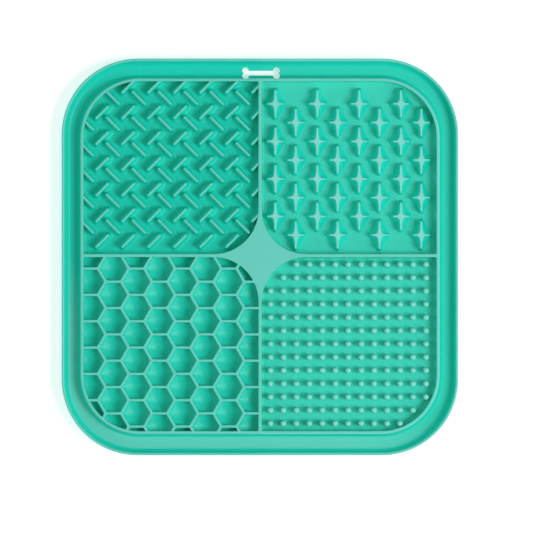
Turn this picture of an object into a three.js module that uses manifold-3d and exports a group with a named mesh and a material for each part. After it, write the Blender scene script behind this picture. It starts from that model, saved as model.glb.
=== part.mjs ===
// A square lick mat, moulded in one piece from silicone and lying flat.
// Millimetres, +Z up. The origin is on the underside at the middle of the mat,
// and +Y points at the edge with the hanging hole.

import * as THREE from 'three';
import { mergeVertices } from 'three/addons/utils/BufferGeometryUtils.js';
import Module from 'manifold-3d';

// Whole mat
const matSide = 200;
const matHeight = 10;
const cornerRadius = 38.5;
const edgeChamfer = 0.4;

// How far pieces of the relief start inside the floor and the walls that they
// grow from, and how far hollows run on past the faces that they open
const buried = 1;
const wallOverlap = 0.3;
const clearance = 2;

// Steps in each half of a rounded corner, and in the curve of the channel's sides
const rimArcSteps = 5;
const fieldArcSteps = 4;
const channelSteps = 3;

// Rim: a thin lip, a U-shaped channel behind it, and the wall around the field
const lipWidth = 1.35;
const channelFloor = 4;
const channelSpread = 1.8;
const wallThickness = 1.45;

// Middle line of the wall, and the floor of the field inside it
const wall = { left: -89.75, right: 89.75, bottom: -88.5, top: 89.3, radius: 29 };
const fieldFloor = 3.6;

// Cross that parts the field into four, with a four-pointed star in its middle
const cross = { x: 0, y: 0.7, thickness: 1.5, starRadius: 22.6, cornerRadius: 0.5 };

// Herringbone ribs, top left: two slants, each on a lattice of its own
const ribTop = 9.7;
const ribWidth = 1.1;
const ribSpread = 0.35;
const ribPitch = { x: 13.1, y: 12.97 };
const risingRibs = { x: -79.6, y: 85.9, length: 8.9, slant: 45, columns: [0, 6], rows: [0, 6] };
const fallingRibs = { x: -73.8, y: 79.85, length: 9.8, slant: -45, columns: [-1, 5], rows: [0, 5] };

// Star posts, top right: two lattices, one set between the other's posts
const starTop = 9.7;
const starPoints = { halfWidth: 4.15, halfHeight: 6.95, tipHalf: 0.45, waist: { x: 1.05, y: 1.2 } };
const starFoot = { halfWidth: 6.0, halfHeight: 8.6, tipHalf: 0.8, waist: { x: 3.4, y: 4.7 } };
const starPitch = { x: 21.1, y: 18.9 };
const starLattices = [
  { x: 7.66, y: 77.2 },
  { x: 17.9, y: 67.8 },
];
const starsPerSide = 4;

// Honeycomb, bottom left: flat-topped cells with a shallow dish in each floor
const cellPitch = { x: 11.64, y: 13.27 };
const cellSides = 6;
const cellWall = 1.15;
const cellDraft = 0.4;
const cellDish = 0.8;
const cellColumns = 8;
const cellRows = 8;
const firstCell = { x: -85.5, y: 0.83 };

// Nubs, bottom right: a square lattice of small round-tipped posts
const nubBaseRadius = 1.6;
const nubTopRadius = 1.15;
const nubShoulder = 8.7;
const nubTip = 9.2;
const nubSides = 6;
const nubPitch = { x: 6.53, y: 6.675 };
const firstNub = { x: 5.29, y: -3.78 };
const nubsPerSide = 13;
const nubWallGap = 0.2;

// Hanging hole in the floor of the channel, in the shape of a bone. Its lower lobes
// just reach the wall round the field
const bone = { x: 0.5, y: 92.85, halfLength: 9.45, lobeRadius: 1.65, lobeRise: 1.4, shaft: 2.5 };
const lobeSides = 10;

const silicone = new THREE.MeshStandardMaterial({
  name: 'silicone',
  color: 0x23c9ab,
  roughness: 0.55,
  metalness: 0,
});

const wasm = await Module();
wasm.setup();

// A closed geometry as a solid that can be joined and cut
function solidOf(geometry) {
  const bare = geometry.clone();
  bare.deleteAttribute('normal');
  bare.deleteAttribute('uv');
  const merged = mergeVertices(bare, 1e-5);
  return new wasm.Manifold(new wasm.Mesh({
    numProp: 3,
    vertProperties: new Float32Array(merged.attributes.position.array),
    triVerts: new Uint32Array(merged.index.array),
  }));
}

function geometryOf(solid) {
  const mesh = solid.getMesh();
  const geometry = new THREE.BufferGeometry();
  geometry.setAttribute('position', new THREE.BufferAttribute(mesh.vertProperties, 3));
  geometry.setIndex(new THREE.BufferAttribute(mesh.triVerts, 1));
  geometry.computeVertexNormals();
  return geometry;
}

function joined(solids) {
  return solids.reduce((whole, solid) => whole.add(solid));
}

function extruded(outline, bottom, top) {
  const geometry = new THREE.ExtrudeGeometry(outline, {
    depth: top - bottom,
    bevelEnabled: false,
    curveSegments: fieldArcSteps,
  });
  geometry.translate(0, 0, bottom);
  return solidOf(geometry);
}

// Outline with straight sides and a rounding of its own at each corner
function roundedOutline(box, radii) {
  const { left, right, bottom, top } = box;
  const [bottomLeft, bottomRight, topRight, topLeft] = radii;
  const outline = new THREE.Shape();
  outline.absarc(left + bottomLeft, bottom + bottomLeft, bottomLeft, Math.PI, 1.5 * Math.PI);
  outline.absarc(right - bottomRight, bottom + bottomRight, bottomRight, 1.5 * Math.PI, 2 * Math.PI);
  outline.absarc(right - topRight, top - topRight, topRight, 0, 0.5 * Math.PI);
  outline.absarc(left + topLeft, top - topLeft, topLeft, 0.5 * Math.PI, Math.PI);
  outline.closePath();
  return outline;
}

// The wall's middle line, moved outwards by a distance
function wallOutline(outwards) {
  const box = {
    left: wall.left - outwards,
    right: wall.right + outwards,
    bottom: wall.bottom - outwards,
    top: wall.top + outwards,
  };
  const radius = wall.radius + outwards;
  return roundedOutline(box, [radius, radius, radius, radius]);
}

// The outer edge of the mat, moved inwards by a distance
function edgeOutline(inwards) {
  const half = matSide / 2 - inwards;
  const radius = cornerRadius - inwards;
  const box = { left: -half, right: half, bottom: -half, top: half };
  return roundedOutline(box, [radius, radius, radius, radius]);
}

// Block of the mat's full height, with a small chamfer round both faces
function blank() {
  const geometry = new THREE.ExtrudeGeometry(edgeOutline(0), {
    depth: matHeight - 2 * edgeChamfer,
    bevelThickness: edgeChamfer,
    bevelSize: edgeChamfer,
    bevelOffset: -edgeChamfer,
    bevelSegments: 1,
    curveSegments: rimArcSteps,
  });
  geometry.translate(0, 0, edgeChamfer);
  return solidOf(geometry);
}

// Hollow between the lip and the wall, with sides that curve up from its floor
function rimChannel() {
  const ring = edgeOutline(lipWidth + channelSpread);
  ring.holes.push(wallOutline(wallThickness / 2 + channelSpread));
  const geometry = new THREE.ExtrudeGeometry(ring, {
    depth: clearance,
    bevelThickness: matHeight - channelFloor,
    bevelSize: channelSpread,
    bevelSegments: channelSteps,
    curveSegments: rimArcSteps,
  });
  geometry.translate(0, 0, matHeight);
  return solidOf(geometry);
}

// Sides and corner radii of one quarter of the field. The quarter is named by the
// side of the cross that it lies on: -1 or 1 along X, and -1 or 1 along Y
function quarter(sideX, sideY) {
  const inner = wallThickness / 2;
  const half = cross.thickness / 2;
  const box = {
    left: sideX < 0 ? wall.left + inner : cross.x + half,
    right: sideX < 0 ? cross.x - half : wall.right - inner,
    bottom: sideY < 0 ? wall.bottom + inner : cross.y + half,
    top: sideY < 0 ? cross.y - half : wall.top - inner,
  };
  const corners = [[-1, -1], [1, -1], [1, 1], [-1, 1]];
  const radii = corners.map(([cornerX, cornerY]) => {
    if (cornerX === sideX && cornerY === sideY) return wall.radius - inner;
    if (cornerX === -sideX && cornerY === -sideY) return cross.starRadius;
    return cross.cornerRadius;
  });
  return { box, radii };
}

// How far a point lies inside a quarter's outline, below zero when it is outside
function insideBy(x, y, { box, radii }) {
  const nearLeft = x - box.left < box.right - x;
  const nearBottom = y - box.bottom < box.top - y;
  const fromSide = nearLeft ? x - box.left : box.right - x;
  const fromEnd = nearBottom ? y - box.bottom : box.top - y;
  const [bottomLeft, bottomRight, topRight, topLeft] = radii;
  const leftRadius = nearBottom ? bottomLeft : topLeft;
  const rightRadius = nearBottom ? bottomRight : topRight;
  const radius = nearLeft ? leftRadius : rightRadius;
  if (fromSide >= radius || fromEnd >= radius) return Math.min(fromSide, fromEnd);
  return radius - Math.hypot(radius - fromSide, radius - fromEnd);
}

function quarterOutline(sideX, sideY, outwards) {
  const { box, radii } = quarter(sideX, sideY);
  const grown = {
    left: box.left - outwards,
    right: box.right + outwards,
    bottom: box.bottom - outwards,
    top: box.top + outwards,
  };
  return roundedOutline(grown, radii.map((radius) => radius + outwards));
}

function quarterHollow(sideX, sideY) {
  return extruded(quarterOutline(sideX, sideY, 0), fieldFloor, matHeight + clearance);
}

// Keeps what lies over one quarter, and lets it reach a little into the walls
function withinQuarter(solid, sideX, sideY) {
  const outline = quarterOutline(sideX, sideY, wallOverlap);
  return solid.intersect(extruded(outline, fieldFloor - buried, matHeight));
}

// Post whose sides spread downwards from its top outline to the floor
function post(outline, top, spread) {
  const geometry = new THREE.ExtrudeGeometry(outline, {
    depth: buried,
    bevelThickness: top - fieldFloor,
    bevelSize: spread,
    bevelSegments: 1,
    curveSegments: 1,
  });
  geometry.translate(0, 0, fieldFloor - buried);
  return geometry;
}

function ribOutline(length) {
  const radius = ribWidth / 2;
  const reach = length / 2 - radius;
  const outline = new THREE.Shape();
  outline.absarc(reach, 0, radius, -0.5 * Math.PI, 0.5 * Math.PI);
  outline.absarc(-reach, 0, radius, 0.5 * Math.PI, 1.5 * Math.PI);
  outline.closePath();
  return outline;
}

function ribLattice({ x, y, length, slant, columns, rows }) {
  const ribs = [];
  for (let column = columns[0]; column <= columns[1]; column += 1) {
    for (let row = rows[0]; row <= rows[1]; row += 1) {
      const middle = { x: x + column * ribPitch.x, y: y - row * ribPitch.y };
      if (insideBy(middle.x, middle.y, quarter(-1, 1)) < 0) continue;
      const rib = post(ribOutline(length), ribTop, ribSpread);
      rib.rotateZ(THREE.MathUtils.degToRad(slant));
      rib.translate(middle.x, middle.y, 0);
      ribs.push(solidOf(rib));
    }
  }
  return joined(ribs);
}

// Four-pointed outline with blunt tips, and one corner between each tip and the next
function fourPointed({ halfWidth, halfHeight, tipHalf, waist }) {
  const corners = [
    [halfWidth, tipHalf], [waist.x, waist.y], [tipHalf, halfHeight],
    [-tipHalf, halfHeight], [-waist.x, waist.y], [-halfWidth, tipHalf],
    [-halfWidth, -tipHalf], [-waist.x, -waist.y], [-tipHalf, -halfHeight],
    [tipHalf, -halfHeight], [waist.x, -waist.y], [halfWidth, -tipHalf],
  ];
  return corners.map(([x, y]) => new THREE.Vector2(x, y));
}

// Closed shape through outlines of equally many points, given from the lowest up
function stacked(levels) {
  const count = levels[0].outline.length;
  const positions = levels.flatMap(({ outline, z }) => outline.flatMap(({ x, y }) => [x, y, z]));
  const triangles = [];
  for (let low = 0; low < (levels.length - 1) * count; low += count) {
    for (let index = 0; index < count; index += 1) {
      const next = (index + 1) % count;
      const high = low + count;
      triangles.push(low + index, low + next, high + next, low + index, high + next, high + index);
    }
  }
  const last = (levels.length - 1) * count;
  const underside = THREE.ShapeUtils.triangulateShape(levels[0].outline, []);
  const topside = THREE.ShapeUtils.triangulateShape(levels[levels.length - 1].outline, []);
  underside.forEach(([a, b, c]) => triangles.push(a, c, b));
  topside.forEach(([a, b, c]) => triangles.push(last + a, last + b, last + c));
  const geometry = new THREE.BufferGeometry();
  geometry.setAttribute('position', new THREE.Float32BufferAttribute(positions, 3));
  geometry.setIndex(triangles);
  return geometry;
}

// Post with a star on top, widening evenly down to a foot close to a diamond
function starPost() {
  const foot = fourPointed(starFoot);
  return stacked([
    { outline: foot, z: fieldFloor - buried },
    { outline: foot, z: fieldFloor },
    { outline: fourPointed(starPoints), z: starTop },
  ]);
}

function starPosts() {
  const posts = [];
  for (const lattice of starLattices) {
    for (let column = 0; column < starsPerSide; column += 1) {
      for (let row = 0; row < starsPerSide; row += 1) {
        const star = starPost();
        star.translate(lattice.x + column * starPitch.x, lattice.y - row * starPitch.y, 0);
        posts.push(solidOf(star));
      }
    }
  }
  return joined(posts);
}

// Turned shape with its axis along Z, from radius and height pairs
function turned(profile, sides, start) {
  const points = profile.map(([radius, height]) => new THREE.Vector2(radius, height));
  const geometry = new THREE.LatheGeometry(points, sides, start);
  geometry.rotateX(Math.PI / 2);
  return geometry;
}

// Hollow of one honeycomb cell
function cellHollow() {
  const cornerFromFlat = 1 / Math.sqrt(3);
  const topRadius = (cellPitch.y - cellWall) * cornerFromFlat;
  const floorRadius = topRadius - cellDraft;
  return turned([
    [0, fieldFloor - cellDish],
    [floorRadius, fieldFloor],
    [topRadius, matHeight],
    [topRadius, matHeight + clearance],
    [0, matHeight + clearance],
  ], cellSides, Math.PI / cellSides);
}

// All cells, as far as the quarter's own outline lets them reach
function honeycombHollows() {
  const cells = [];
  for (let column = 0; column < cellColumns; column += 1) {
    for (let row = 0; row < cellRows; row += 1) {
      const cell = cellHollow();
      const stagger = column % 2 === 0 ? 0 : cellPitch.y / 2;
      cell.translate(firstCell.x + column * cellPitch.x, firstCell.y - stagger - row * cellPitch.y, 0);
      cells.push(solidOf(cell));
    }
  }
  return joined(cells).intersect(extruded(quarterOutline(-1, -1, 0), 0, matHeight + clearance));
}

function nubs() {
  const posts = [];
  for (let column = 0; column < nubsPerSide; column += 1) {
    for (let row = 0; row < nubsPerSide; row += 1) {
      const x = firstNub.x + column * nubPitch.x;
      const y = firstNub.y - row * nubPitch.y;
      if (insideBy(x, y, quarter(1, -1)) < nubBaseRadius + nubWallGap) continue;
      const nub = turned([
        [0, fieldFloor - buried],
        [nubBaseRadius, fieldFloor - buried],
        [nubBaseRadius, fieldFloor],
        [nubTopRadius, nubShoulder],
        [0, nubTip],
      ], nubSides, 0);
      nub.translate(x, y, 0);
      posts.push(solidOf(nub));
    }
  }
  return joined(posts);
}

// Two lobes at each end of a straight shaft, all the way through the mat
function boneHole() {
  const parts = [];
  const reach = bone.halfLength - bone.lobeRadius;
  const depth = matHeight + 2 * clearance;
  const middle = matHeight / 2;
  for (const sideX of [-1, 1]) {
    for (const sideY of [-1, 1]) {
      const lobe = new THREE.CylinderGeometry(bone.lobeRadius, bone.lobeRadius, depth, lobeSides);
      lobe.rotateX(Math.PI / 2);
      lobe.translate(bone.x + sideX * reach, bone.y + sideY * bone.lobeRise, middle);
      parts.push(solidOf(lobe));
    }
  }
  const shaft = new THREE.BoxGeometry(2 * reach, bone.shaft, depth);
  shaft.translate(bone.x, bone.y, middle);
  parts.push(solidOf(shaft));
  return joined(parts);
}

function matSolid() {
  const tray = blank()
    .subtract(rimChannel())
    .subtract(quarterHollow(-1, 1))
    .subtract(quarterHollow(1, 1))
    .subtract(quarterHollow(1, -1))
    .subtract(honeycombHollows())
    .subtract(boneHole());
  const ribs = withinQuarter(ribLattice(risingRibs).add(ribLattice(fallingRibs)), -1, 1);
  const stars = withinQuarter(starPosts(), 1, 1);
  return joined([tray, ribs, stars, nubs()]);
}

const mat = new THREE.Mesh(geometryOf(matSolid()), silicone);
mat.name = 'mat';

const lickMat = new THREE.Group();
lickMat.name = 'lick_mat';
lickMat.add(mat);

export default lickMat;
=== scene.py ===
import math

import bpy
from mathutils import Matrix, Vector


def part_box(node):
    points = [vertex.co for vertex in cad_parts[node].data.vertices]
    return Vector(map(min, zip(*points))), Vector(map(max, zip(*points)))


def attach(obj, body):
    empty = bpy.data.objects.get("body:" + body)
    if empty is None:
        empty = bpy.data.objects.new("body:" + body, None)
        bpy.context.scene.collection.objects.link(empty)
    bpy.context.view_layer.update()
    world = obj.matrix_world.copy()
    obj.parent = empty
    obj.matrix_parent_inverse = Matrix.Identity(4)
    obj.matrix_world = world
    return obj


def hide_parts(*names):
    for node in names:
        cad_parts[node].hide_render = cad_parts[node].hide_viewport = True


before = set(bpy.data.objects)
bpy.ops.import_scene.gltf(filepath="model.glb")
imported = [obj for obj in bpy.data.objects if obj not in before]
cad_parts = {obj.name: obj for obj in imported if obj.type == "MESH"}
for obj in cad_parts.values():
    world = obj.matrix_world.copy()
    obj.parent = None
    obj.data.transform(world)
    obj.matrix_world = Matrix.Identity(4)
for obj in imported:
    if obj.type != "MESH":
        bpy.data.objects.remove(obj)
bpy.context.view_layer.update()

# A silicone lick mat moulded in one piece, seen from straight above on a pale floor.
# +X is to the right, +Y towards the edge with the hanging hole, and +Z up.
# Lengths are in metres, and the angles named here are in degrees. The mat's side and
# height come from its part in model.glb.

MM = 0.001
TAU = 2 * math.pi
WHITE = (1, 1, 1, 1)

mat_low, mat_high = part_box("mat")
MAT_SIDE = mat_high.x - mat_low.x
MAT_TOP = mat_high.z

# Rim: a rounded lip and the channel behind it, whose curved sides spread this far out
# from the lip and from the wall before they reach its floor
EDGE_RADIUS = 38.5 * MM
FOOT_ROUNDING = 0.5 * MM
LIP_WIDTH = 1.35 * MM
LIP_ROUNDING = 0.5 * MM
CHANNEL_FLOOR = 4.2 * MM
CHANNEL_FROM_LIP = 3 * MM
CHANNEL_FROM_WALL = 2.2 * MM

# Wall round the field, by its middle line
WALL_LEFT = -89.75 * MM
WALL_RIGHT = 89.75 * MM
WALL_BOTTOM = -88.5 * MM
WALL_TOP = 89.3 * MM
WALL_RADIUS = 29 * MM
WALL_THICKNESS = 1.45 * MM
CREST_ROUNDING = 0.6 * MM

# Field: its floor, and the cross that parts it into quarters and widens to a star in its middle
FIELD_FLOOR = 3.6 * MM
CROSS_X = 0
CROSS_Y = 0.7 * MM
CROSS_THICKNESS = 1.5 * MM
CROSS_CORNER = 0.8 * MM
CENTRE_STAR_RADIUS = 22.6 * MM
FLOOR_FILLET = 1.1 * MM
WALL_DRAFT = 0.15 * MM

# Top edge of a hollow: its arc turns this far, and then runs out and up by a little
EDGE_ROUNDING = 0.28 * MM
EDGE_SWEEP = 70
EDGE_RUNOUT = (0.1 * EDGE_ROUNDING, 0.04 * EDGE_ROUNDING)

# Relief starts inside the floor and the walls, and its fillets cross the floor at an angle.
# Hollows run on past the faces that they open, and no outline has a corner of no radius
BURIED = 1 * MM
WALL_OVERLAP = 0.3 * MM
FOOT_CROSSING = 6
CLEARANCE = 2 * MM
SMALLEST_RADIUS = 0.05 * MM

# Herringbone ribs: two lattices, each by the middle of its first rib, top left
RIB_TOP = 9.7 * MM
RIB_LIMIT = MAT_TOP - 0.05 * MM
RIB_HALF = 0.55 * MM
RIB_SPREAD = 0.6 * MM
RIB_FILLET = 1.8 * MM
RIB_ROUNDING = 0.42 * MM
RIB_PITCH = (13.1 * MM, 12.97 * MM)
RISING_RIBS = {
    "x": -79.6 * MM, "y": 85.9 * MM, "length": 9.2 * MM, "slant": 45, "columns": 7, "rows": 7,
}
FALLING_RIBS = {
    "x": -87.3 * MM, "y": 80.25 * MM, "length": 9.5 * MM, "slant": -45, "columns": 7, "rows": 6,
}

# Star posts: half sizes of the top and the foot, the points that bend the top's sides inwards,
# and the angles at which the rounding of its point on x ends and that of its point on y begins
STAR_TOP = 9.7 * MM
STAR_POINTS = (3.95 * MM, 6.85 * MM)
STAR_TIP = 0.36 * MM
STAR_LEANS = (84, 6)
STAR_WAIST = ((0.85 * MM, 0.32 * MM), (0.45 * MM, 0.55 * MM))
STAR_FOOT = (6.0 * MM, 8.4 * MM)
STAR_FOOT_TIP = 2.2 * MM
STAR_HOLLOW = 1.5
STAR_DIP = 0.05 * MM
STAR_ROUNDING = 0.2 * MM
STAR_PITCH = (21.1 * MM, 18.9 * MM)
STAR_LATTICES = ((7.66 * MM, 77.2 * MM), (17.9 * MM, 67.8 * MM))
STARS_PER_SIDE = 4

# Honeycomb cells: the draft is a share of the height, and each corner is rounded by a share
# of the cell's half width and by more towards the middle of the bowl
CELL_PITCH = (11.64 * MM, 13.27 * MM)
CELL_WALL = 1.15 * MM
CELL_INSET = 0.025 * MM
CELL_FLOOR = 3.4 * MM
CELL_BOWL = 9.2 * MM
CELL_FILLET = 1.1 * MM
CELL_DRAFT = 0.025
CELL_CORNER_SHARE = 0.1
CELL_CORNER_GROWTH = 1.6
CELL_COLUMNS = 8
CELL_ROWS = 8
FIRST_CELL = (-85.5 * MM, 0.83 * MM)

# The honeycomb's quarter, which cuts off the outer cells, reaches just below their floors
HONEYCOMB_FLOOR = CELL_FLOOR - 0.1 * MM
HONEYCOMB_FILLET = 1.3 * MM

# Nubs: the flat in the middle of the tip is a share of the shoulder's radius
NUB_FOOT = 1.5 * MM
NUB_FILLET = 0.3 * MM
NUB_SHOULDER_RADIUS = 1.42 * MM
NUB_SHOULDER = 8.8 * MM
NUB_TIP = 9.9 * MM
NUB_FLAT = 0.12
NUB_PITCH = (6.53 * MM, 6.675 * MM)
FIRST_NUB = (5.29 * MM, -3.78 * MM)
NUBS_PER_SIDE = 13
NUB_WALL_GAP = 0.4 * MM

# Hanging hole in the channel, in the shape of a bone
BONE_X = 0.5 * MM
BONE_Y = 92.85 * MM
BONE_REACH = 7.8 * MM
BONE_LOBE = 1.65 * MM
BONE_RISE = 1.4 * MM
BONE_SHAFT = 1.25 * MM

# Steps round curves
RIM_STEPS = 20
SIDE_STEPS = 8
CHANNEL_STEPS = 10
EDGE_STEPS = 3
FILLET_STEPS = 4
RIB_END_STEPS = 6
STAR_SIDE_STEPS = 8
STAR_TIP_STEPS = 2
STAR_SLOPE_STEPS = 9
CELL_CORNER_STEPS = 4
CELL_STEPS = 5
NUB_SIDES = 20
NUB_DOME_STEPS = 5
LOBE_SIDES = 24

# Shading: edges sharper than this stay sharp, and large faces weigh more in the smooth ones
SHARP_ANGLE = 42
NORMAL_WEIGHT = 80

# Silicone: linear colours, and the heights between which each paler, painted sheen or highlight fades in
DEEP_TINT = (0.007, 0.65, 0.505)
BRIGHT_TINT = (0.009, 0.7, 0.545)
# Painted sheen: the top level is paler, as where it catches the lamps' light
TOP_PAINTED_SHEEN = (0.135, 0.615, 0.515)
TOP_FADE = (8.0 * MM, 9.0 * MM)
# Painted highlight on the nub tips
TIP_PAINTED_HIGHLIGHT = (0.2, 0.7, 0.61)
TIP_FADE = (8.9 * MM, 9.6 * MM)
# Painted sheen of the key lamp on the right half below the field floor's height: the star and nub floors
FLOOR_PAINTED_SHEEN = (0.046, 0.7, 0.55)
FLOOR_FADE = (4.6 * MM, 3.6 * MM)
# Painted sheen in the channel towards the front left
CHANNEL_PAINTED_SHEEN = (0.115, 0.665, 0.545)
CHANNEL_FADE = (4.75 * MM, 4.25 * MM)

# The tips' painted highlight ends below the mat's own top, which keeps it off the star and the walls
TIP_END = (9.98 * MM, 9.92 * MM)

# The painted floor sheen and tip highlight are on the right, the painted channel sheen at the front left
RIGHT_FADE = (-1 * MM, 1 * MM)
FRONT_SLANT = (-0.45, -1, 0)
FRONT_FADE = (40 * MM, 72 * MM)

# Finish: the whole surface's gloss, and roughness where it is satin and where it is dull
GLOSS = 0.25
SATIN_ROUGHNESS = (0.36, 0.44)
DULL_ROUGHNESS = 0.55
CLOUD_SCALE = 35
CLOUD_DETAIL = 3
GRAIN_SCALE = 2600
GRAIN_DETAIL = 2
GRAIN_STRENGTH = 0.12
GRAIN_DEPTH = 0.03 * MM

# Lamps: name, angle from straight above, turn from +X, side in metres and power in watts
LAMP_DISTANCE = 2
LAMPS = (
    ("key", 36.5, -15, 0.7, 19),
    ("low_front_right", 66, 315, 0.95, 6),
    ("low_right", 66, 0, 0.95, 6.5),
    ("low_back", 66, 90, 0.95, 2.5),
    ("low_left", 66, 180, 0.95, 7),
    ("low_front_left", 66, 225, 0.95, 3),
)
SKY_STRENGTH = 0.36

# Pale ground, and the glow on it that lets the mat's shadow fade out
GROUND_HALF = 1.6
GROUND_COLOUR = (0.93, 0.93, 0.93, 1)
GROUND_ROUGHNESS = 0.9
GROUND_GLOW = 0.44

# Camera: its height over the mat's top, the width that it sees there, and the place of the
# picture's middle. The sensor's width is in millimetres, as the lens is
CAMERA_HEIGHT = 3000 * MM
VIEW_WIDTH = 268.5 * MM
VIEW_MIDDLE = (3.27 * MM, -4.79 * MM)
SENSOR_WIDTH = 36


# Outlines: counterclockwise lists of x and y

def between(start, end, share):
    return tuple(a + (b - a) * share for a, b in zip(start, end))


def arc(centre, radius, start, sweep, steps):
    angles = [start + sweep * step / steps for step in range(steps + 1)]
    return [(centre[0] + radius * math.cos(a), centre[1] + radius * math.sin(a)) for a in angles]


def bezier(a, b, c, d, steps):
    curve = []
    for step in range(steps + 1):
        t = step / steps
        weights = ((1 - t) ** 3, 3 * t * (1 - t) ** 2, 3 * t * t * (1 - t), t ** 3)
        curve.append(tuple(sum(w * p[axis] for w, p in zip(weights, (a, b, c, d))) for axis in (0, 1)))
    return curve


def placed(outline, x, y, turn=0):
    """The outline turned about its own middle and moved to a place"""
    across, along = math.cos(turn), math.sin(turn)
    return [(x + a * across - b * along, y + a * along + b * across) for a, b in outline]


def inset_outline(outline, inwards):
    """Each point moved inwards, square to the line through its neighbours"""
    moved = []
    count = len(outline)
    for index, (x, y) in enumerate(outline):
        before = outline[index - 1]
        after = outline[(index + 1) % count]
        along = Vector((after[0] - before[0], after[1] - before[1])).normalized()
        moved.append((x - along.y * inwards, y + along.x * inwards))
    return moved


def rounded_outline(left, right, bottom, top, radii):
    """Straight sides, with a rounding of its own at each corner from bottom left round to top left"""
    inner = [
        (left + radii[0], bottom + radii[0]),
        (right - radii[1], bottom + radii[1]),
        (right - radii[2], top - radii[2]),
        (left + radii[3], top - radii[3]),
    ]
    corners = []
    for index, centre in enumerate(inner):
        corners.append(arc(centre, radii[index], math.pi + index * TAU / 4, TAU / 4, RIM_STEPS))
    outline = []
    for corner, following in zip(corners, corners[1:] + corners[:1]):
        outline += corner
        outline += [between(corner[-1], following[0], step / SIDE_STEPS) for step in range(1, SIDE_STEPS)]
    return outline


def edge_outline(inwards):
    half = MAT_SIDE / 2 - inwards
    return rounded_outline(-half, half, -half, half, [EDGE_RADIUS - inwards] * 4)


def wall_outline(outwards):
    return rounded_outline(
        WALL_LEFT - outwards, WALL_RIGHT + outwards, WALL_BOTTOM - outwards, WALL_TOP + outwards,
        [WALL_RADIUS + outwards] * 4,
    )


def quarter(side_x, side_y):
    """Sides and corner radii of the quarter on one side of the cross along x and along y"""
    inner = WALL_THICKNESS / 2
    half = CROSS_THICKNESS / 2
    left = WALL_LEFT + inner if side_x < 0 else CROSS_X + half
    right = CROSS_X - half if side_x < 0 else WALL_RIGHT - inner
    bottom = WALL_BOTTOM + inner if side_y < 0 else CROSS_Y + half
    top = CROSS_Y - half if side_y < 0 else WALL_TOP - inner
    radii = []
    for corner in ((-1, -1), (1, -1), (1, 1), (-1, 1)):
        if corner == (side_x, side_y):
            radii.append(WALL_RADIUS - inner)
        elif corner == (-side_x, -side_y):
            radii.append(CENTRE_STAR_RADIUS)
        else:
            radii.append(CROSS_CORNER)
    return left, right, bottom, top, radii


def quarter_outline(side_x, side_y, outwards):
    left, right, bottom, top, radii = quarter(side_x, side_y)
    grown = [max(radius + outwards, SMALLEST_RADIUS) for radius in radii]
    return rounded_outline(left - outwards, right + outwards, bottom - outwards, top + outwards, grown)


def inside_by(x, y, side_x, side_y):
    """How far a point lies inside a quarter's outline, below zero when it is outside"""
    left, right, bottom, top, radii = quarter(side_x, side_y)
    near_left = x - left < right - x
    near_bottom = y - bottom < top - y
    from_side = min(x - left, right - x)
    from_end = min(y - bottom, top - y)
    if near_bottom:
        radius = radii[0] if near_left else radii[1]
    else:
        radius = radii[3] if near_left else radii[2]
    if from_side >= radius or from_end >= radius:
        return min(from_side, from_end)
    return radius - math.hypot(radius - from_side, radius - from_end)


def hexagon(centre, apothem, corner_radius):
    """Hexagon with flat sides at the top and bottom, and rounded corners"""
    reach = (apothem - corner_radius) / math.cos(math.pi / 6)
    outline = []
    for corner in range(6):
        turn = corner * math.pi / 3
        middle = (centre[0] + reach * math.cos(turn), centre[1] + reach * math.sin(turn))
        outline += arc(middle, corner_radius, turn - math.pi / 6, math.pi / 3, CELL_CORNER_STEPS)
    return outline


def stadium(length, half_width):
    """Bar with round ends. One that is wider than a rib's top is longer by as much at each end"""
    reach = length / 2 - RIB_HALF
    right = arc((reach, 0), half_width, -TAU / 4, TAU / 2, RIB_END_STEPS)
    left = arc((-reach, 0), half_width, TAU / 4, TAU / 2, RIB_END_STEPS)
    return right + left


def four_pointed(points, tip, leans, controls):
    """Outline with four round points, and the same curve from each point to the next.

    The rounding of the point on x ends at the first lean, and that of the point on y begins at the second
    """
    right = (points[0] - tip, 0)
    upper = (0, points[1] - tip)
    right_tip = arc(right, tip, 0, leans[0], STAR_TIP_STEPS)
    upper_tip = arc(upper, tip, leans[1], TAU / 4 - leans[1], STAR_TIP_STEPS)
    side = bezier(right_tip[-1], *controls, upper_tip[0], STAR_SIDE_STEPS)
    quadrant = right_tip[:-1] + side + upper_tip[1:]
    half_turn = quadrant + [(-x, y) for x, y in reversed(quadrant[1:-1])]
    return half_turn + [(-x, -y) for x, y in half_turn]


def star_top():
    """Slender points with hollow sides between them"""
    leans = [math.radians(lean) for lean in STAR_LEANS]
    return four_pointed(STAR_POINTS, STAR_TIP, leans, STAR_WAIST)


def star_foot():
    """A diamond with straight sides and round points"""
    reach = [point - STAR_FOOT_TIP for point in STAR_FOOT]
    lean = math.atan2(reach[0], reach[1])
    out = (STAR_FOOT_TIP * math.cos(lean), STAR_FOOT_TIP * math.sin(lean))
    ends = ((reach[0] + out[0], out[1]), (out[0], reach[1] + out[1]))
    controls = (between(*ends, 1 / 3), between(*ends, 2 / 3))
    return four_pointed(STAR_FOOT, STAR_FOOT_TIP, (lean, lean), controls)


# Meshes: each shape is a closed stack of rings, and a ring is an outline at a height

def level(outline, height):
    return [(x, y, height) for x, y in outline]


def stacked(rings, points, faces):
    """Adds a closed shape through rings of equally many points, the first ring facing down"""
    first = len(points)
    count = len(rings[0])
    for ring in rings:
        points.extend(ring)
    faces.append([first + index for index in reversed(range(count))])
    for step in range(len(rings) - 1):
        low = first + step * count
        high = low + count
        for index in range(count):
            following = (index + 1) % count
            faces.append([low + index, low + following, high + following, high + index])
    last = first + (len(rings) - 1) * count
    faces.append([last + index for index in range(count)])


def mesh_object(name, points, faces):
    mesh = bpy.data.meshes.new(name)
    mesh.from_pydata(points, [], faces)
    made = bpy.data.objects.new(name, mesh)
    bpy.context.scene.collection.objects.link(made)
    return made


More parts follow.
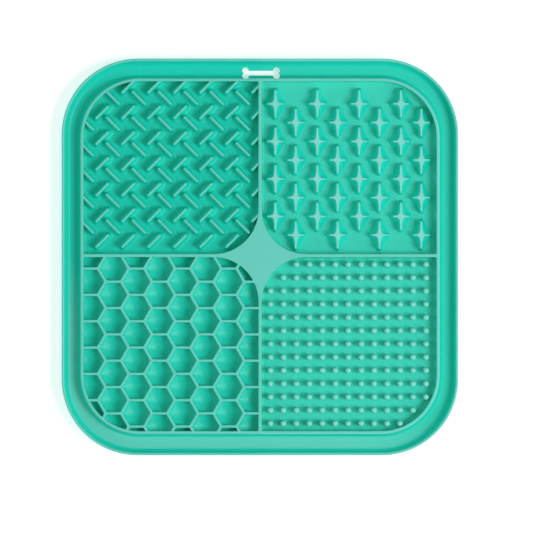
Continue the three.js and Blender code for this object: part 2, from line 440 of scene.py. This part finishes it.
def solid(name, shapes):
    """One object of closed shapes"""
    points, faces = [], []
    for rings in shapes:
        stacked(rings, points, faces)
    return mesh_object(name, points, faces)


def use_result(piece):
    """Gives the piece the mesh that its modifiers make, and takes them off"""
    spent = piece.data
    graph = bpy.context.evaluated_depsgraph_get()
    made = bpy.data.meshes.new_from_object(piece.evaluated_get(graph))
    piece.modifiers.clear()
    piece.data = made
    bpy.data.meshes.remove(spent)


def combine(whole, part, operation):
    """Joins, cuts or intersects the whole with the part, which is used up"""
    modifier = whole.modifiers.new(operation, "BOOLEAN")
    modifier.operation = operation
    modifier.solver = "MANIFOLD"
    modifier.object = part
    use_result(whole)
    spent = part.data
    bpy.data.objects.remove(part)
    bpy.data.meshes.remove(spent)


# Profiles: pairs of an outset and a height

def rounding(radius, top, sweep=90):
    """Up a top edge, whose arc turns by the sweep before it crosses the top"""
    centre = top - radius * math.sin(math.radians(sweep))
    turns = [math.radians(sweep * step / EDGE_STEPS) for step in range(EDGE_STEPS + 1)]
    return [(radius * (1 - math.cos(turn)), centre + radius * math.sin(turn)) for turn in turns]


def hollow_edge(start):
    """Up the rounded top edge of a hollow, and on past the mat's top"""
    pairs = [(start + outset, height) for outset, height in rounding(EDGE_ROUNDING, MAT_TOP, EDGE_SWEEP)]
    pairs.append((pairs[-1][0] + EDGE_RUNOUT[0], MAT_TOP + EDGE_RUNOUT[1]))
    pairs.append((pairs[-1][0], MAT_TOP + CLEARANCE))
    return pairs


def post_foot(spread, fillet):
    """Up from below the floor, along the fillet at the foot of a rib or nub"""
    centre = FIELD_FLOOR + fillet * math.cos(math.radians(FOOT_CROSSING))
    pairs = [(spread + fillet, FIELD_FLOOR - BURIED)]
    for step in range(FILLET_STEPS + 1):
        turn = TAU / 4 * step / FILLET_STEPS
        pairs.append((spread + fillet * (1 - math.sin(turn)), centre - fillet * math.cos(turn)))
    return pairs


def channel_side(spread, top):
    """Down one side of the channel, a quarter of an ellipse"""
    pairs = []
    for step in range(1, CHANNEL_STEPS + 1):
        turn = TAU / 4 * step / CHANNEL_STEPS
        pairs.append((spread * (1 - math.cos(turn)), top - (top - CHANNEL_FLOOR) * math.sin(turn)))
    return pairs


# Mat

def tray():
    """The rim with its lip, channel and wall, and a level top over the whole field"""
    rings = []
    for step in range(EDGE_STEPS + 1):
        turn = TAU / 4 * step / EDGE_STEPS
        inset = FOOT_ROUNDING * (1 - math.sin(turn))
        rings.append(level(edge_outline(inset), FOOT_ROUNDING * (1 - math.cos(turn))))
    for inset, height in rounding(LIP_ROUNDING, MAT_TOP):
        rings.append(level(edge_outline(inset), height))
    for inset, height in reversed(rounding(LIP_ROUNDING, MAT_TOP)):
        rings.append(level(edge_outline(LIP_WIDTH - inset), height))
    for spread, height in channel_side(CHANNEL_FROM_LIP, MAT_TOP - LIP_ROUNDING):
        rings.append(level(edge_outline(LIP_WIDTH + spread), height))
    for spread, height in reversed(channel_side(CHANNEL_FROM_WALL, MAT_TOP - CREST_ROUNDING)):
        rings.append(level(wall_outline(WALL_THICKNESS / 2 + spread), height))
    for inset, height in rounding(CREST_ROUNDING, MAT_TOP):
        rings.append(level(wall_outline(WALL_THICKNESS / 2 - inset), height))
    return solid("mat_body", [rings])


def quarter_hollow(side_x, side_y, floor, fillet):
    """Rings of one quarter's hollow: a fillet round its floor, slightly drafted walls and rounded edges"""
    pairs = []
    for step in range(FILLET_STEPS + 1):
        turn = TAU / 4 * step / FILLET_STEPS
        outset = -WALL_DRAFT - fillet * (1 - math.sin(turn))
        pairs.append((outset, floor + fillet * (1 - math.cos(turn))))
    pairs += hollow_edge(0)
    return [level(quarter_outline(side_x, side_y, outset), height) for outset, height in pairs]


def quarter_hollows():
    """The three quarters with a level floor"""
    sides = ((-1, 1), (1, 1), (1, -1))
    return solid("quarter_hollows", [quarter_hollow(*side, FIELD_FLOOR, FLOOR_FILLET) for side in sides])


def cell_corner(apothem, top):
    """Corner rounding: a full circle in the middle of the bowl, nearly sharp at the walls"""
    return min(apothem, CELL_CORNER_SHARE * top + max(CELL_CORNER_GROWTH * (top - apothem), 0))


def cell_profile():
    """Apothem, corner rounding and height of each ring: a bowl, a fillet, drafted sides and a round edge"""
    top = (CELL_PITCH[1] - CELL_WALL) / 2 - CELL_INSET
    rim = top - CELL_DRAFT * (MAT_TOP - CELL_FLOOR) - CELL_FILLET
    pairs = []
    for step in range(1, CELL_STEPS + 1):
        apothem = rim * step / CELL_STEPS
        pairs.append((apothem, CELL_FLOOR + CELL_BOWL - math.sqrt(CELL_BOWL ** 2 - apothem ** 2)))
    tilt = math.asin(rim / CELL_BOWL)
    start, height = pairs[-1]
    for step in range(1, CELL_STEPS + 1):
        turn = tilt + (TAU / 4 - tilt) * step / CELL_STEPS
        pairs.append((
            start + CELL_FILLET * (math.sin(turn) - math.sin(tilt)) / (1 - math.sin(tilt)),
            height + CELL_FILLET * (math.cos(tilt) - math.cos(turn)),
        ))
    pairs += hollow_edge(top)
    return [(apothem, cell_corner(apothem, top), height) for apothem, height in pairs]


def honeycomb_hollows():
    """All cells, as far as the outline of their quarter lets them reach"""
    profile = cell_profile()
    shapes = []
    for column in range(CELL_COLUMNS):
        stagger = CELL_PITCH[1] / 2 if column % 2 else 0
        for row in range(CELL_ROWS):
            centre = (FIRST_CELL[0] + column * CELL_PITCH[0], FIRST_CELL[1] - stagger - row * CELL_PITCH[1])
            rings = [level(hexagon(centre, apothem, corner), height) for apothem, corner, height in profile]
            shapes.append(rings)
    cells = solid("honeycomb_hollows", shapes)
    limit = quarter_hollow(-1, -1, HONEYCOMB_FLOOR, HONEYCOMB_FILLET)
    combine(cells, solid("honeycomb_quarter", [limit]), "INTERSECT")
    return cells


def rib_rings(lattice, x, y):
    profile = post_foot(RIB_SPREAD, RIB_FILLET)
    profile += [(-inset, height) for inset, height in rounding(RIB_ROUNDING, RIB_TOP)]
    turn = math.radians(lattice["slant"])
    rings = []
    for outset, height in profile:
        outline = stadium(lattice["length"], RIB_HALF + outset)
        rings.append(level(placed(outline, x, y, turn), height))
    return rings


def ribs(lattice):
    """Ribs of one slant whose middles lie in their quarter, cut off a little way into its walls"""
    shapes = []
    for column in range(lattice["columns"]):
        for row in range(lattice["rows"]):
            x = lattice["x"] + column * RIB_PITCH[0]
            y = lattice["y"] - row * RIB_PITCH[1]
            if inside_by(x, y, -1, 1) >= 0:
                shapes.append(rib_rings(lattice, x, y))
    made = solid("ribs", shapes)
    outline = quarter_outline(-1, 1, WALL_OVERLAP)
    limit = [level(outline, FIELD_FLOOR - 2 * BURIED), level(outline, RIB_LIMIT)]
    combine(made, solid("rib_quarter", [limit]), "INTERSECT")
    return made


def star_levels():
    """Outlines and heights of a star post: hollow slopes that run out on the floor, and a rounded edge"""
    top = star_top()
    foot = star_foot()
    rise = STAR_TOP - STAR_ROUNDING - FIELD_FLOOR
    slope = [(1, FIELD_FLOOR - BURIED)]
    for step in range(STAR_SLOPE_STEPS):
        share = 1 - step / STAR_SLOPE_STEPS
        slope.append((share, FIELD_FLOOR - STAR_DIP * share + rise * (1 - share) ** STAR_HOLLOW))
    levels = [([between(a, b, share) for a, b in zip(top, foot)], height) for share, height in slope]
    levels += [(inset_outline(top, inset), height) for inset, height in rounding(STAR_ROUNDING, STAR_TOP)]
    return levels


def star_posts():
    levels = star_levels()
    shapes = []
    for first in STAR_LATTICES:
        for column in range(STARS_PER_SIDE):
            for row in range(STARS_PER_SIDE):
                x = first[0] + column * STAR_PITCH[0]
                y = first[1] - row * STAR_PITCH[1]
                shapes.append([level(placed(outline, x, y), height) for outline, height in levels])
    return solid("star_posts", shapes)


def nub_profile():
    """Radius and height of each ring: a fillet at the foot, drafted sides and a domed tip"""
    pairs = [(NUB_FOOT + outset, height) for outset, height in post_foot(0, NUB_FILLET)]
    for step in range(NUB_DOME_STEPS):
        turn = TAU / 4 * step / NUB_DOME_STEPS
        height = NUB_SHOULDER + (NUB_TIP - NUB_SHOULDER) * math.sin(turn)
        pairs.append((NUB_SHOULDER_RADIUS * math.cos(turn), height))
    pairs.append((NUB_FLAT * NUB_SHOULDER_RADIUS, NUB_TIP))
    return pairs


def nubs():
    """Nubs of a square lattice that stand clear of the walls of their quarter"""
    profile = nub_profile()
    shapes = []
    for column in range(NUBS_PER_SIDE):
        for row in range(NUBS_PER_SIDE):
            centre = (FIRST_NUB[0] + column * NUB_PITCH[0], FIRST_NUB[1] - row * NUB_PITCH[1])
            if inside_by(*centre, 1, -1) < NUB_FOOT + NUB_WALL_GAP:
                continue
            circles = [(arc(centre, radius, 0, TAU, NUB_SIDES)[:-1], height) for radius, height in profile]
            shapes.append([level(circle, height) for circle, height in circles])
    return solid("nubs", shapes)


def bar_through(outline):
    """Upright bar of an outline, from below the mat to above it"""
    return solid("bar", [[level(outline, -CLEARANCE), level(outline, MAT_TOP + CLEARANCE)]])


def bone_hole():
    """Two lobes at each end of a straight shaft, all the way through"""
    left, right = BONE_X - BONE_REACH, BONE_X + BONE_REACH
    low, high = BONE_Y - BONE_SHAFT, BONE_Y + BONE_SHAFT
    whole = bar_through([(left, low), (right, low), (right, high), (left, high)])
    for x in (left, right):
        for y in (BONE_Y - BONE_RISE, BONE_Y + BONE_RISE):
            lobe = bar_through(arc((x, y), BONE_LOBE, 0, TAU, LOBE_SIDES)[:-1])
            combine(whole, lobe, "UNION")
    return whole


def shade(piece):
    """Smooth shading that keeps level faces flat and sharp edges sharp"""
    mesh = piece.data
    mesh.polygons.foreach_set("use_smooth", [True] * len(mesh.polygons))
    mesh.set_sharp_from_angle(angle=math.radians(SHARP_ANGLE))
    modifier = piece.modifiers.new("weighted", "WEIGHTED_NORMAL")
    modifier.keep_sharp = True
    modifier.weight = NORMAL_WEIGHT
    use_result(piece)


def mat_body():
    body = tray()
    combine(body, quarter_hollows(), "DIFFERENCE")
    combine(body, honeycomb_hollows(), "DIFFERENCE")
    for part in (ribs(RISING_RIBS), ribs(FALLING_RIBS), star_posts(), nubs()):
        combine(body, part, "UNION")
    combine(body, bone_hole(), "DIFFERENCE")
    shade(body)
    return body


# Silicone, from masks that are shares from 0 to 1

def fade(nodes, links, source, limits):
    """0 at the first limit and 1 at the second, which may be the lower one"""
    ramp = nodes.new("ShaderNodeMapRange")
    flipped = limits[0] > limits[1]
    ramp.inputs["From Min"].default_value = min(limits)
    ramp.inputs["From Max"].default_value = max(limits)
    ramp.inputs["To Min"].default_value = 1 if flipped else 0
    ramp.inputs["To Max"].default_value = 0 if flipped else 1
    links.new(source, ramp.inputs["Value"])
    return ramp.outputs["Result"]


def math_result(nodes, links, operation, first, second):
    node = nodes.new("ShaderNodeMath")
    node.operation = operation
    links.new(first, node.inputs[0])
    links.new(second, node.inputs[1])
    return node.outputs["Value"]


def product(nodes, links, first, *others):
    result = first
    for other in others:
        result = math_result(nodes, links, "MULTIPLY", result, other)
    return result


def noise(nodes, links, place, scale, detail):
    texture = nodes.new("ShaderNodeTexNoise")
    texture.inputs["Scale"].default_value = scale
    texture.inputs["Detail"].default_value = detail
    links.new(place, texture.inputs["Vector"])
    return texture.outputs["Fac"]


def tinted(nodes, links, under, share, colour):
    """The colour laid over the one under it, by a share from 0 to 1"""
    mix = nodes.new("ShaderNodeMix")
    mix.data_type = "RGBA"
    mix.inputs["B"].default_value = (*colour, 1)
    links.new(under, mix.inputs["A"])
    links.new(share, mix.inputs["Factor"])
    return mix.outputs["Result"]


def beyond_wall(nodes, links, place):
    """0 inside the wall round the field and 1 outside it, from the distance to its straight-sided core"""
    middle = ((WALL_LEFT + WALL_RIGHT) / 2, (WALL_BOTTOM + WALL_TOP) / 2, 0)
    core = ((WALL_RIGHT - WALL_LEFT) / 2 - WALL_RADIUS, (WALL_TOP - WALL_BOTTOM) / 2 - WALL_RADIUS, MAT_TOP)
    nothing = (0, 0, 0)
    steps = (("SUBTRACT", middle), ("ABSOLUTE", nothing), ("SUBTRACT", core), ("MAXIMUM", nothing))
    current = place
    for operation, values in steps:
        node = nodes.new("ShaderNodeVectorMath")
        node.operation = operation
        node.inputs[1].default_value = values
        links.new(current, node.inputs[0])
        current = node.outputs["Vector"]
    length = nodes.new("ShaderNodeVectorMath")
    length.operation = "LENGTH"
    links.new(current, length.inputs[0])
    return fade(nodes, links, length.outputs["Value"], (WALL_RADIUS, WALL_RADIUS + WALL_THICKNESS))


def painted_sheen_places(nodes, links, place):
    """Masks of painted sheen and highlights: top level, right-hand tips and floor, front-left channel"""
    split = nodes.new("ShaderNodeSeparateXYZ")
    links.new(place, split.inputs["Vector"])
    height = split.outputs["Z"]
    slant = nodes.new("ShaderNodeVectorMath")
    slant.operation = "DOT_PRODUCT"
    slant.inputs[1].default_value = FRONT_SLANT
    links.new(place, slant.inputs[0])
    on_right = fade(nodes, links, split.outputs["X"], RIGHT_FADE)
    at_front = fade(nodes, links, slant.outputs["Value"], FRONT_FADE)
    past_wall = beyond_wall(nodes, links, place)
    above_sides = fade(nodes, links, height, TIP_FADE)
    below_top = fade(nodes, links, height, TIP_END)
    top = fade(nodes, links, height, TOP_FADE)
    tips = product(nodes, links, above_sides, below_top, on_right)
    floor = product(nodes, links, on_right, fade(nodes, links, height, FLOOR_FADE))
    channel = product(nodes, links, at_front, fade(nodes, links, height, CHANNEL_FADE), past_wall)
    return top, tips, floor, channel


def silicone_colour(nodes, links, place, top, tips, floor, channel):
    """Faintly clouded turquoise, paler in four places of painted sheen and highlights"""
    clouds = noise(nodes, links, place, CLOUD_SCALE, CLOUD_DETAIL)
    tint = nodes.new("ShaderNodeMix")
    tint.data_type = "RGBA"
    tint.inputs["A"].default_value = (*DEEP_TINT, 1)
    tint.inputs["B"].default_value = (*BRIGHT_TINT, 1)
    links.new(clouds, tint.inputs["Factor"])
    colour = tinted(nodes, links, tint.outputs["Result"], floor, FLOOR_PAINTED_SHEEN)
    colour = tinted(nodes, links, colour, channel, CHANNEL_PAINTED_SHEEN)
    colour = tinted(nodes, links, colour, top, TOP_PAINTED_SHEEN)
    return tinted(nodes, links, colour, tips, TIP_PAINTED_HIGHLIGHT)


def silicone_roughness(nodes, links, grain, floor, channel):
    """Satin that varies a little with the grain, and is duller in the hollows with painted sheen"""
    satin = nodes.new("ShaderNodeMapRange")
    satin.inputs["To Min"].default_value = SATIN_ROUGHNESS[0]
    satin.inputs["To Max"].default_value = SATIN_ROUGHNESS[1]
    links.new(grain, satin.inputs["Value"])
    mix = nodes.new("ShaderNodeMix")
    mix.inputs["B"].default_value = DULL_ROUGHNESS
    links.new(satin.outputs["Result"], mix.inputs["A"])
    links.new(math_result(nodes, links, "MAXIMUM", floor, channel), mix.inputs["Factor"])
    return mix.outputs["Result"]


def silicone():
    """Satin silicone with a fine moulded grain, and painted sheen and highlights in its colour"""
    material = bpy.data.materials.new("silicone")
    material.use_nodes = True
    nodes = material.node_tree.nodes
    links = material.node_tree.links
    shader = nodes["Principled BSDF"]
    shader.inputs["Specular IOR Level"].default_value = GLOSS
    place = nodes.new("ShaderNodeTexCoord").outputs["Object"]
    top, tips, floor, channel = painted_sheen_places(nodes, links, place)
    links.new(silicone_colour(nodes, links, place, top, tips, floor, channel), shader.inputs["Base Color"])
    grain = noise(nodes, links, place, GRAIN_SCALE, GRAIN_DETAIL)
    links.new(silicone_roughness(nodes, links, grain, floor, channel), shader.inputs["Roughness"])
    bump = nodes.new("ShaderNodeBump")
    bump.inputs["Strength"].default_value = GRAIN_STRENGTH
    bump.inputs["Distance"].default_value = GRAIN_DEPTH
    links.new(grain, bump.inputs["Height"])
    links.new(bump.outputs["Normal"], shader.inputs["Normal"])
    return material


# Stage

def pale_ground():
    material = bpy.data.materials.new("pale_ground")
    material.use_nodes = True
    shader = material.node_tree.nodes["Principled BSDF"]
    shader.inputs["Base Color"].default_value = GROUND_COLOUR
    shader.inputs["Roughness"].default_value = GROUND_ROUGHNESS
    shader.inputs["Specular IOR Level"].default_value = 0
    shader.inputs["Emission Color"].default_value = WHITE
    shader.inputs["Emission Strength"].default_value = GROUND_GLOW
    return material


def ground():
    half = GROUND_HALF
    corners = [(-half, -half, 0), (half, -half, 0), (half, half, 0), (-half, half, 0)]
    floor = mesh_object("ground", corners, [[0, 1, 2, 3]])
    floor.data.materials.append(pale_ground())


def soft_box(name, zenith, turn, side, watts):
    """Square area light that faces the mat's middle, at an angle from straight above and a turn from +X"""
    tilt = math.radians(zenith)
    heading = math.radians(turn)
    out = (math.sin(tilt) * math.cos(heading), math.sin(tilt) * math.sin(heading), math.cos(tilt))
    place = LAMP_DISTANCE * Vector(out)
    lamp = bpy.data.lights.new(name, "AREA")
    lamp.size = side
    lamp.energy = watts
    made = bpy.data.objects.new(name, lamp)
    made.location = place
    made.rotation_euler = place.to_track_quat("Z", "Y").to_euler()
    bpy.context.scene.collection.objects.link(made)


def lights():
    """The lamps, under an even white sky"""
    for lamp in LAMPS:
        soft_box(*lamp)
    world = bpy.data.worlds.new("studio")
    world.use_nodes = True
    background = world.node_tree.nodes["Background"]
    background.inputs["Color"].default_value = WHITE
    background.inputs["Strength"].default_value = SKY_STRENGTH
    bpy.context.scene.world = world


def camera():
    """High above the mat, with the picture's middle a little right of and below the mat's own"""
    lens = bpy.data.cameras.new("camera")
    lens.sensor_width = SENSOR_WIDTH
    lens.lens = lens.sensor_width * CAMERA_HEIGHT / VIEW_WIDTH
    made = bpy.data.objects.new("camera", lens)
    made.location = (*VIEW_MIDDLE, MAT_TOP + CAMERA_HEIGHT)
    bpy.context.scene.collection.objects.link(made)
    bpy.context.scene.camera = made


camera()
lights()
ground()

body = mat_body()
body.data.materials.clear()
body.data.materials.append(silicone())
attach(body, "root")
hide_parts("mat")

bpy.context.scene.view_settings.view_transform = "Standard"
